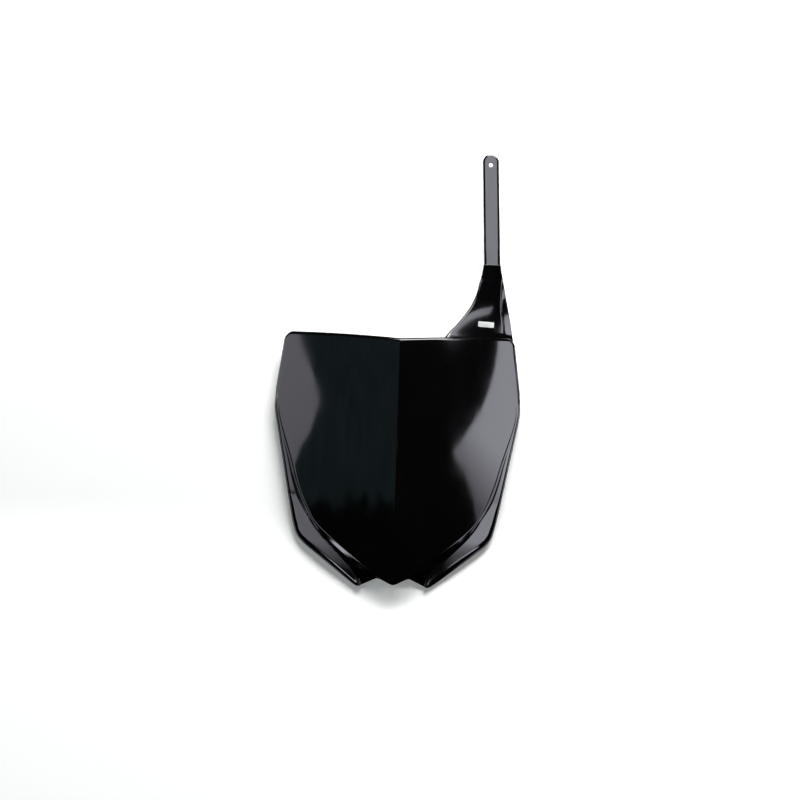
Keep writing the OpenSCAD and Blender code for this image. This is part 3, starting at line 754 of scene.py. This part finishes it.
def fixing_tab(b, material):
    """A level plate whose foot follows the back of the panel, with a round end round
    its bolt hole, and the two upright gussets under it."""
    top = top_z(b) - b.fix_drop
    foot_x = np.linspace(-TAB_FOOT, TAB_FOOT, 25) * b.tab_w
    turn = np.linspace(0, np.pi, 40)
    end = np.column_stack([np.cos(turn), np.sin(turn)]) * b.tab_w / 2 + [0, b.fix_reach]
    foot = np.column_stack([foot_x, root_y(b, foot_x, top - b.tab_t / 2)])
    outer = even_loop(np.vstack([foot, end]), count=240)
    hole = round_hole(outer, np.array([0, b.fix_reach]), b.fix_hole_d / 2)
    points, quads, poles = plate(outer, flat, b.tab_t, TAB_EDGE, hole, rings=10)
    points[:, 2] = top - points[:, 2]
    make_piece("fixing_tab", points, quads, material, poles)
    under = top - b.tab_t / 2
    z = under - GUSSET_H * np.linspace(0, 1, 20)
    for side, name in ((-1, "gusset_left"), (1, "gusset_right")):
        x = side * GUSSET_X * b.tab_w
        line = np.column_stack([root_y(b, x, z), z])
        far = [b.fix_reach - b.fix_hole_d - BOLT_ROOM, under]
        points, quads, poles = rib_plate(b, np.vstack([line, line[-1] + [RIB_FOOT, 0], far]))
        points = np.column_stack([points[:, 2] + x - b.rib_t / 2, points[:, :2]])
        make_piece(name, points, quads, material, poles)


def clamp_socket(b, material):
    """A profile of radius and depth carried round the socket's axis: a flared foot that
    follows the back of the panel, the boss with rounded lips, and the blind bore. Two
    ribs run out from the boss."""
    z0 = top_z(b) - b.panel_h + b.socket_up
    floor = panel_y(b, 0, z0) + b.wall + SOCKET_FLOOR
    end = floor + b.socket_l
    bore, boss = b.socket_d / 2, b.socket_d / 2 + b.socket_wall
    turn = np.linspace(0, 2 * np.pi, 72, endpoint=False)
    way = np.column_stack([np.cos(turn), np.sin(turn)])
    foot = way * (boss + SOCKET_FLARE)
    foot_y = root_y(b, foot[:, 0], z0 + foot[:, 1])
    arc = np.linspace(0, np.pi / 2, 5)
    over, into = 1 - np.cos(arc), 1 - np.sin(arc)
    profile = [(boss, floor + b.socket_l * t) for t in (0, 0.3, 0.7)]
    profile += zip(boss - OUTER_LIP * over, end - OUTER_LIP * into)
    profile += zip(bore + INNER_LIP * into, end - INNER_LIP * over)
    profile += [(bore, floor + 3 * MM), (bore, floor + INNER_LIP)]
    profile += zip(bore - INNER_LIP * over, floor + INNER_LIP * into)
    profile += [(bore / 2, floor)]
    rows = [(boss + SOCKET_FLARE * (1 - t) ** 2, foot_y + (floor - foot_y) * t)
            for t in np.linspace(0, 0.95, 9)]
    rows += [(r, np.full(len(turn), y)) for r, y in profile]
    points = np.vstack([np.column_stack([way[:, 0] * r, y, z0 + way[:, 1] * r]) for r, y in rows])
    index = np.arange(len(points)).reshape(len(rows), -1)
    tips = np.array([[0, root_y(b, 0, z0), z0], [0, floor, z0]])
    poles = [(index[0], len(points)), (index[-1][::-1], len(points) + 1)]
    make_piece("clamp_socket", np.vstack([points, tips]), grid_faces(index, wrap_cols=True),
               material, poles)
    begin, top = boss - RIB_SINK, floor + RIB_SHARE * b.socket_l
    for side, name in ((-1, "rib_left"), (1, "rib_right")):
        x = side * (begin + RIB_RUN * np.linspace(0, 1, 24))
        line = np.column_stack([x, root_y(b, x, z0)])
        corners = np.vstack([line, line[-1] + [0, RIB_FOOT], [side * begin, top]])
        points, quads, poles = rib_plate(b, corners)
        points[:, 2] += z0 - b.rib_t / 2
        make_piece(name, points, quads, material, poles)


# Finish


def add(tree, kind, settings=None, links=None):
    """Adds a node, sets its own properties and its inputs, and links its inputs to the
    given outputs. Inputs go by name, or by number where a node has two of one name."""
    node = tree.nodes.new(kind)
    for key, value in (settings or {}).items():
        if isinstance(key, int) or key in node.inputs:
            node.inputs[key].default_value = value
        else:
            setattr(node, key, value)
    for key, source in (links or {}).items():
        tree.links.new(source, node.inputs[key])
    return node


def new_material(name):
    """An empty node material and its tree."""
    material = bpy.data.materials.new(name)
    material.use_nodes = True
    material.node_tree.nodes.clear()
    return material, material.node_tree


def cloudy(size_mm, detail):
    """Noise settings whose largest features have the given size in millimetres: the
    scale is one over the size in metres."""
    return {"Scale": 1 / (size_mm * MM), "Detail": detail}


def gloss_moulded_polypropylene():
    """Black polypropylene from a polished mould: nearly a mirror for lamps, deep black
    between them. The eye gets slow ripples where the plastic shrank, thin grey flow
    marks down from the top, and areas that hands have made a little duller."""
    f = bpy.context.scene.board_finish
    material, tree = new_material("gloss_moulded_polypropylene")
    place = add(tree, "ShaderNodeTexCoord").outputs["Object"]
    # Flow marks are stretched along Z, 14 mm wide and some 90 mm long.
    flow_place = add(tree, "ShaderNodeMapping", {"Scale": (1, 1, 0.15)}, {"Vector": place})
    flow = add(tree, "ShaderNodeTexNoise", cloudy(14, 2), {"Vector": flow_place.outputs[0]})
    marks = add(tree, "ShaderNodeMapRange", {"From Min": 0.5, "From Max": 0.8, "To Max": 0.6},
                {"Value": flow.outputs["Fac"]})
    tint = add(tree, "ShaderNodeMixRGB", {"Color1": (*f.plastic, 1), "Color2": (*f.haze, 1)},
               {"Fac": marks.outputs[0]})
    # The duller areas are some 38 mm wide.
    handled = add(tree, "ShaderNodeTexNoise", cloudy(38, 4), {"Vector": place})
    dull = add(tree, "ShaderNodeMapRange",
               {"From Min": 0.45, "From Max": 0.75, "To Min": f.polished, "To Max": f.handled},
               {"Value": handled.outputs["Fac"]})
    ripple = add(tree, "ShaderNodeTexNoise", cloudy(f.ripple_mm, 1), {"Vector": place})
    # The grain is drawn coarser than the real one, so that the render can show it.
    grain = add(tree, "ShaderNodeTexNoise", cloudy(f.grain_mm, 2), {"Vector": place})
    slow = add(tree, "ShaderNodeBump", {"Strength": 0.05, "Distance": 0.2 * MM},
               {"Height": ripple.outputs["Fac"]})
    fine = add(tree, "ShaderNodeBump", {"Strength": 0.03, "Distance": 0.02 * MM},
               {"Height": grain.outputs["Fac"], "Normal": slow.outputs[0]})
    plastic = add(tree, "ShaderNodeBsdfPrincipled", {"IOR": 1.5},
                  {"Base Color": tint.outputs[0], "Roughness": dull.outputs[0],
                   "Normal": fine.outputs[0]})
    add(tree, "ShaderNodeOutputMaterial", links={"Surface": plastic.outputs[0]})
    return material


def the_plastic():
    """The plastic of every piece, made once."""
    return bpy.data.materials.get("gloss_moulded_polypropylene") or gloss_moulded_polypropylene()


# Studio

WHITE = (1, 1, 1, 1)
UP = (0, 0, 1)

# Lamps: name, azimuth and elevation from the board in degrees, distance in metres,
# width, height and brightness.
SOFTBOXES = [
    ("key_softbox", 22, 61, 1.8, 1.1, 0.9, 19.5),
    ("rear_left_softbox", 215, 25, 2.0, 1.0, 1.2, 3.0),
    ("rear_right_softbox", 150, 40, 2.0, 0.8, 1.0, 2.0),
]

# Bright cards that only the gloss sees: rows of elevation, left and right azimuth in
# degrees, and the brightness. A card that grows brighter has its second brightness, the
# direction in which it grows, and the places in metres where that starts and ends.
CARDS = {
    "right_card": ([
        (-14, 56, 97), (-11.6, 53.3, 97), (-9.3, 51.8, 97), (-7.5, 50.6, 97), (-4, 47, 97),
        (-2.4, 43.4, 97), (-0.5, 41.8, 97), (1, 45.1, 97), (3.2, 48.6, 88), (6.5, 53.8, 70),
        (10, 57, 69), (12, 58.4, 68), (15, 60, 67), (19, 61, 67),
    ], 1.35, 6.1, (0.62, 0, 0.79), 0.62, 0.97),
    "left_card": ([
        (-12, -96, -70), (-8, -96, -62), (-3.2, -96, -57.3), (-0.3, -96, -54.9),
        (1.6, -96, -52), (7.2, -96, -48.6), (11.8, -96, -52.5), (15.4, -96, -57), (19, -96, -60),
    ], 2.0, 2.6, UP, -0.4, 0.6),
    "strap_card": ([(25.5, 2, 10), (38, 2, 10)], 5.7),
    "neck_card": ([(20, 38, 44.5), (30, 39, 45), (36, 40.5, 46.5), (46, 38, 52)],
                  3.5, 6.5, UP, 0.5, 1.2),
    "low_right_card": ([(-37, 62, 84), (-28, 66, 88), (-10, 74, 96)], 0.3, 5.0, UP, -1.3, -1.08),
    "low_left_card": ([(-40, -84, -60), (-28, -90, -62), (-13, -96, -70)],
                      0.3, 2.5, UP, -1.42, -1.2),
    "gill_right_card": ([(-38.6, 76, 96), (-35.2, 76, 96)], 5.5),
    "gill_left_card": ([(-49, -94, -82), (-42, -94, -82)], 7.5),
    "left_edge_card": ([(3, -101, -96.5), (18, -101, -96.5)], 9.5),
    "right_edge_card": ([(0, 86, 92), (14, 86, 92)], 4.2),
    "neck_edge_card": ([(7, 102.4, 113), (16, 102.4, 113)], 4.2),
}
# Distance of the cards, the dim card and the tent from the board, in metres
CARD_R, DIM_R, TENT_R = 2.0, 2.6, 3.2
# Rows and columns of a card
CARD_ROWS, CARD_COLUMNS = 40, 12
# The dim card's azimuth and elevation, from and to, in degrees
DIM_AZIMUTH, DIM_ELEVATION = (-70, -9), (22, -18)
# The tent reaches this many degrees round from the viewer's direction.
TENT_END = 150
# Colours of the lamps, the cards, the dim card and the tent
LAMP_HEX, CARD_HEX, DIM_HEX, VELVET_HEX = "#fffffe", "#f2f2ff", "#c4f9ff", "#020202"
# Depth of the point that lamps and cards face, behind the panel's crease
MIDDLE_Y = 25 * MM
# Width and depth of the floor, from and to, its height, and its own white
FLOOR_X, FLOOR_Y, FLOOR_Z, FLOOR_GLOW = (-1.5, 1.5), (-0.6, 2.0), -1.15, 0.6
# Point of the drawing that the camera looks at, in millimetres from the panel's middle
AIM = np.array([1.95, 45.0, 60.1])
# Width of the camera's sensor in millimetres
SENSOR_W = 36
# Height and depth of the bent back paper, in millimetres from the panel's middle: it
# lies close behind the board's rearmost points.
PAPER = [
    (-900, -230), (-220, -10), (-130, 28.5), (-115, 36), (-98, 44.5), (-80, 50), (-60, 53),
    (60, 60), (128, 72), (180, 100), (311, 115), (600, 130),
]
# Half the paper's width, and half the width that has close columns
PAPER_HALF, CLOSE_HALF = 0.8, 0.12
# The paper bulges forwards under the board's middle point, by this much, round this
# height, and over these half widths across and up.
BULGE_RISE, BULGE_Z, BULGE_W, BULGE_H = 18 * MM, -119 * MM, 21 * MM, 15 * MM


def toward(azimuth, elevation):
    """Unit vectors from the board: azimuth 0 is the front, 90 the viewer's right."""
    a, e = np.broadcast_arrays(np.radians(azimuth), np.radians(elevation))
    return np.stack([np.sin(a) * np.cos(e), -np.cos(a) * np.cos(e), np.sin(e)], axis=-1)


def board_middle():
    """The point behind the panel's middle that the lamps and cards face."""
    return board_place() + [0, MIDDLE_Y, 0]


def make_camera(look):
    """A long lens level with the point it looks at, turned a little about its own axis."""
    data = bpy.data.cameras.new("camera")
    data.lens, data.sensor_width = look.focal_mm, SENSOR_W
    data.clip_start, data.clip_end = 0.05, 30
    camera = bpy.data.objects.new("camera", data)
    bpy.context.scene.collection.objects.link(camera)
    away = toward(np.degrees(look.azimuth), 0)
    target = board_place() + AIM * MM
    right = np.cross([0, 0, 1.0], away)
    c, s = np.cos(look.roll), np.sin(look.roll)
    across, up = np.array([[c, s], [-s, c]]) @ np.array([right, [0, 0, 1.0]])
    place = Matrix(np.column_stack([across, up, away]).tolist()).to_4x4()
    place.translation = Vector(target + away * look.distance)
    camera.matrix_world = place
    bpy.context.scene.camera = camera


def make_softbox(name, azimuth, elevation, distance, width, height, brightness):
    """A rectangular lamp that faces the board. Its power is its brightness times pi
    times its area, so that the brightness is what a mirror would show."""
    data = bpy.data.lights.new(name, "AREA")
    data.shape, data.size, data.size_y = "RECTANGLE", width, height
    data.color = linear(LAMP_HEX)
    data.energy = brightness * np.pi * width * height
    lamp = bpy.data.objects.new(name, data)
    bpy.context.scene.collection.objects.link(lamp)
    away = toward(azimuth, elevation)
    lamp.rotation_mode = "QUATERNION"
    lamp.rotation_quaternion = Vector(away).to_track_quat("Z", "Y")
    lamp.location = Vector(board_middle() + away * distance)


def make_sheet(name, points, material, shown=True):
    """A stage surface from a grid of points."""
    grid = np.arange(points.shape[0] * points.shape[1]).reshape(points.shape[:2])
    mesh = bpy.data.meshes.new(name)
    mesh.from_pydata(points.reshape(-1, 3).tolist(), [], grid_faces(grid).tolist())
    mesh.polygons.foreach_set("use_smooth", np.ones(len(mesh.polygons), bool))
    mesh.materials.append(material)
    sheet = bpy.data.objects.new(name, mesh)
    bpy.context.scene.collection.objects.link(sheet)
    if not shown:
        sheet.visible_camera = False
    return sheet


def white_for_mirrors(tree):
    """1 for rays from the camera and from glossy or clear surfaces, else 0."""
    path = add(tree, "ShaderNodeLightPath").outputs
    either = add(tree, "ShaderNodeMath", {"operation": "MAXIMUM"},
                 {0: path["Is Camera Ray"], 1: path["Is Glossy Ray"]})
    seen = add(tree, "ShaderNodeMath", {"operation": "MAXIMUM"},
               {0: either.outputs[0], 1: path["Is Transmission Ray"]})
    return seen.outputs[0]


def matt_white_paper(name, glow, one_sided):
    """Matt white paper that takes a soft shadow. Part of its white is its own glow for
    the camera and for mirrors, so that a shadow on it stays pale. From behind, a one-sided
    sheet lets everything through."""
    look = bpy.context.scene.studio_look
    material, tree = new_material(name)
    paper = add(tree, "ShaderNodeBsdfDiffuse", {"Color": (*look.paper, 1)})
    strength = add(tree, "ShaderNodeMath", {"operation": "MULTIPLY", 1: glow},
                   {0: white_for_mirrors(tree)})
    lit = add(tree, "ShaderNodeEmission", {"Color": WHITE}, {"Strength": strength.outputs[0]})
    surface = add(tree, "ShaderNodeAddShader", links={0: paper.outputs[0], 1: lit.outputs[0]})
    if one_sided:
        side = add(tree, "ShaderNodeNewGeometry").outputs["Backfacing"]
        clear = add(tree, "ShaderNodeBsdfTransparent").outputs[0]
        surface = add(tree, "ShaderNodeMixShader",
                      links={"Fac": side, 1: surface.outputs[0], 2: clear})
    add(tree, "ShaderNodeOutputMaterial", links={"Surface": surface.outputs[0]})
    return material


def glowing_card(name, low, high, way, start, end):
    """A card lit from behind. Its brightness rises from low to high between two places
    along the direction."""
    material, tree = new_material(name)
    place = add(tree, "ShaderNodeTexCoord").outputs["Object"]
    along = add(tree, "ShaderNodeVectorMath", {"operation": "DOT_PRODUCT", 1: way}, {0: place})
    level = add(tree, "ShaderNodeMapRange",
                {"From Min": start, "From Max": end, "To Min": low, "To Max": high},
                {"Value": along.outputs["Value"]})
    glow = add(tree, "ShaderNodeEmission", {"Color": (*linear(CARD_HEX), 1)},
               {"Strength": level.outputs[0]})
    add(tree, "ShaderNodeOutputMaterial", links={"Surface": glow.outputs[0]})
    return material


def make_card(name, rows, low, high=None, way=UP, start=0, end=1):
    """A card on the sphere round the board, between the azimuths of its rows."""
    table = np.asarray(rows, float)
    el = np.linspace(table[0, 0], table[-1, 0], CARD_ROWS)[:, None]
    left, right = (np.interp(el, table[:, 0], table[:, k]) for k in (1, 2))
    az = left + (right - left) * np.linspace(0, 1, CARD_COLUMNS)
    points = board_middle() + CARD_R * toward(az, el)
    material = glowing_card(name, low, low if high is None else high, way, start, end)
    card = make_sheet(name, points, material, shown=False)
    card.visible_diffuse = card.visible_shadow = card.visible_transmission = False


def black_velvet():
    """Black velvet of the tent that keeps the room out of the gloss."""
    material, tree = new_material("black_velvet")
    cloth = add(tree, "ShaderNodeBsdfDiffuse", {"Color": (*linear(VELVET_HEX), 1)})
    add(tree, "ShaderNodeOutputMaterial", links={"Surface": cloth.outputs[0]})
    return material


def green_grey_card():
    """The dim wall of the room, seen only in the gloss: dark green-grey with faint
    upright streaks, 45 mm wide, and an uneven lower edge."""
    material, tree = new_material("green_grey_card")
    place = add(tree, "ShaderNodeTexCoord").outputs["Object"]
    streak_place = add(tree, "ShaderNodeMapping", {"Scale": (1, 1, 0.08)}, {"Vector": place})
    streak = add(tree, "ShaderNodeTexNoise", cloudy(45, 3), {"Vector": streak_place.outputs[0]})
    level = add(tree, "ShaderNodeMapRange",
                {"From Min": 0.35, "From Max": 0.7, "To Min": 0.14, "To Max": 0.27},
                {"Value": streak.outputs["Fac"]})
    height = add(tree, "ShaderNodeSeparateXYZ", links={"Vector": place})
    cloud = add(tree, "ShaderNodeTexNoise", cloudy(260, 2), {"Vector": place})
    torn = add(tree, "ShaderNodeMath", {"operation": "MULTIPLY_ADD", 1: 0.5},
               {0: cloud.outputs["Fac"], 2: height.outputs["Z"]})
    ending = add(tree, "ShaderNodeMapRange", {"From Min": -0.36, "From Max": -0.26},
                 {"Value": torn.outputs[0]})
    strength = add(tree, "ShaderNodeMath", {"operation": "MULTIPLY"},
                   {0: level.outputs[0], 1: ending.outputs[0]})
    glow = add(tree, "ShaderNodeEmission", {"Color": (*linear(DIM_HEX), 1)},
               {"Strength": strength.outputs[0]})
    add(tree, "ShaderNodeOutputMaterial", links={"Surface": glow.outputs[0]})
    return material


def back_paper(look):
    """The bent back paper: the table of depths, averaged over five rows of 5 mm, less a
    bell in both directions. Only the camera sees it."""
    z = np.linspace(PAPER[-1][0], PAPER[0][0], 301) * MM
    depth = np.interp(z, *(np.array(PAPER).T * MM))
    depth = np.convolve(np.pad(depth, 2, mode="edge"), np.ones(5) / 5, mode="valid")
    columns = [-PAPER_HALF, *np.linspace(-CLOSE_HALF, CLOSE_HALF, 49), PAPER_HALF]
    x, up = np.meshgrid(columns, z)
    bulge = BULGE_RISE * np.exp(-(x / BULGE_W) ** 2 - ((up - BULGE_Z) / BULGE_H) ** 2)
    points = np.stack([x, depth[:, None] - bulge, up], axis=-1) + board_place()
    material = matt_white_paper("matt_white_paper", look.glow, one_sided=True)
    paper = make_sheet("back_paper", points, material)
    for ray in ("glossy", "diffuse", "transmission", "shadow"):
        setattr(paper, "visible_" + ray, False)


def room_for_mirrors():
    """What the gloss sees between the bright cards: the black tent in front, a part of
    a sphere, and the dim card inside it."""
    around = np.linspace(0, 2 * np.pi, 49)
    out = np.radians(np.linspace(1, TENT_END, 38))[:, None]
    dome = np.stack([np.sin(out) * np.cos(around), -np.cos(out) * np.ones_like(around),
                     np.sin(out) * np.sin(around)], axis=-1)
    make_sheet("black_tent", board_middle() + TENT_R * dome, black_velvet(), shown=False)
    az, el = np.meshgrid(np.linspace(*DIM_AZIMUTH, 25), np.linspace(*DIM_ELEVATION, 9))
    card = board_middle() + DIM_R * toward(az, el)
    make_sheet("dim_card", card, green_grey_card(), shown=False)


def white_room(look):
    """A white world: plain white for camera and mirrors, a soft fill for the rest."""
    world = bpy.data.worlds.new("white_room")
    bpy.context.scene.world = world
    world.use_nodes = True
    tree = world.node_tree
    tree.nodes.clear()
    level = add(tree, "ShaderNodeMapRange", {"To Min": look.fill, "To Max": 1.0},
                {"Value": white_for_mirrors(tree)})
    white = add(tree, "ShaderNodeBackground", {"Color": WHITE}, {"Strength": level.outputs[0]})
    add(tree, "ShaderNodeOutputWorld", links={"Surface": white.outputs[0]})


def make_stage(look):
    """Camera, paper, floor, lamps, cards, the room for the gloss and the white world."""
    make_camera(look)
    back_paper(look)
    x, y = np.meshgrid(FLOOR_X, FLOOR_Y)
    points = np.stack([x, y, np.full_like(x, FLOOR_Z)], axis=-1)
    material = matt_white_paper("matt_white_floor", FLOOR_GLOW, one_sided=False)
    floor = make_sheet("floor", points, material)
    floor.visible_glossy = False
    for softbox in SOFTBOXES:
        make_softbox(*softbox)
    for name, card in CARDS.items():
        make_card(name, *card)
    room_for_mirrors()
    white_room(look)
    bpy.context.scene.view_settings.view_transform = "Standard"


# Operators, panel and run


class BOARD_OT_shell(bpy.types.Operator):
    """Makes the panel with its rim, wings, gills and fins"""

    bl_idname = "board.shell"
    bl_label = "Panel and wings"

    def execute(self, context):
        board_shell(context.scene.board_sizes, the_plastic())
        return {"FINISHED"}


class BOARD_OT_neck(bpy.types.Operator):
    """Makes the neck with the slot"""

    bl_idname = "board.neck"
    bl_label = "Neck"

    def execute(self, context):
        neck_piece(context.scene.board_sizes, the_plastic())
        return {"FINISHED"}


class BOARD_OT_strap(bpy.types.Operator):
    """Makes the strap with its round end and hole"""

    bl_idname = "board.strap"
    bl_label = "Strap"

    def execute(self, context):
        strap_piece(context.scene.board_sizes, the_plastic())
        return {"FINISHED"}


class BOARD_OT_fixings(bpy.types.Operator):
    """Makes the fixing tab, the socket and their ribs on the back"""

    bl_idname = "board.fixings"
    bl_label = "Tab, socket and ribs"

    def execute(self, context):
        fixing_tab(context.scene.board_sizes, the_plastic())
        clamp_socket(context.scene.board_sizes, the_plastic())
        return {"FINISHED"}


class BOARD_OT_stage(bpy.types.Operator):
    """Makes the camera, the paper, the lamps and the world"""

    bl_idname = "board.stage"
    bl_label = "Studio"

    def execute(self, context):
        make_stage(context.scene.studio_look)
        return {"FINISHED"}


OPERATORS = [BOARD_OT_shell, BOARD_OT_neck, BOARD_OT_strap, BOARD_OT_fixings, BOARD_OT_stage]


class VIEW3D_PT_board(bpy.types.Panel):
    """The board's settings and operators"""

    bl_label = "Number board"
    bl_space_type = "VIEW_3D"
    bl_region_type = "UI"
    bl_category = "Board"

    def draw(self, context):
        for group in ("board_sizes", "board_finish", "studio_look"):
            box = self.layout.box()
            settings = getattr(context.scene, group)
            for key in settings.__annotations__:
                box.prop(settings, key)
        for operator in OPERATORS:
            self.layout.operator(operator.bl_idname)


GROUPS = {"board_sizes": BoardSizes, "board_finish": BoardFinish, "studio_look": StudioLook}


def register():
    """Makes the settings, operators and panel known to Blender."""
    for group in GROUPS.values():
        bpy.utils.register_class(group)
    for cls in [*OPERATORS, VIEW3D_PT_board]:
        bpy.utils.register_class(cls)
    for name, group in GROUPS.items():
        setattr(bpy.types.Scene, name, bpy.props.PointerProperty(type=group))


def unregister():
    """Takes them out again, in the opposite order."""
    for name in GROUPS:
        delattr(bpy.types.Scene, name)
    for cls in [VIEW3D_PT_board, *reversed(OPERATORS), *reversed(GROUPS.values())]:
        bpy.utils.unregister_class(cls)


def main():
    """Registers everything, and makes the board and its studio."""
    register()
    for operator in OPERATORS:
        group, name = operator.bl_idname.split(".")
        if getattr(getattr(bpy.ops, group), name)() != {"FINISHED"}:
            raise RuntimeError("could not finish: " + operator.bl_label)


if __name__ == "__main__":
    main()
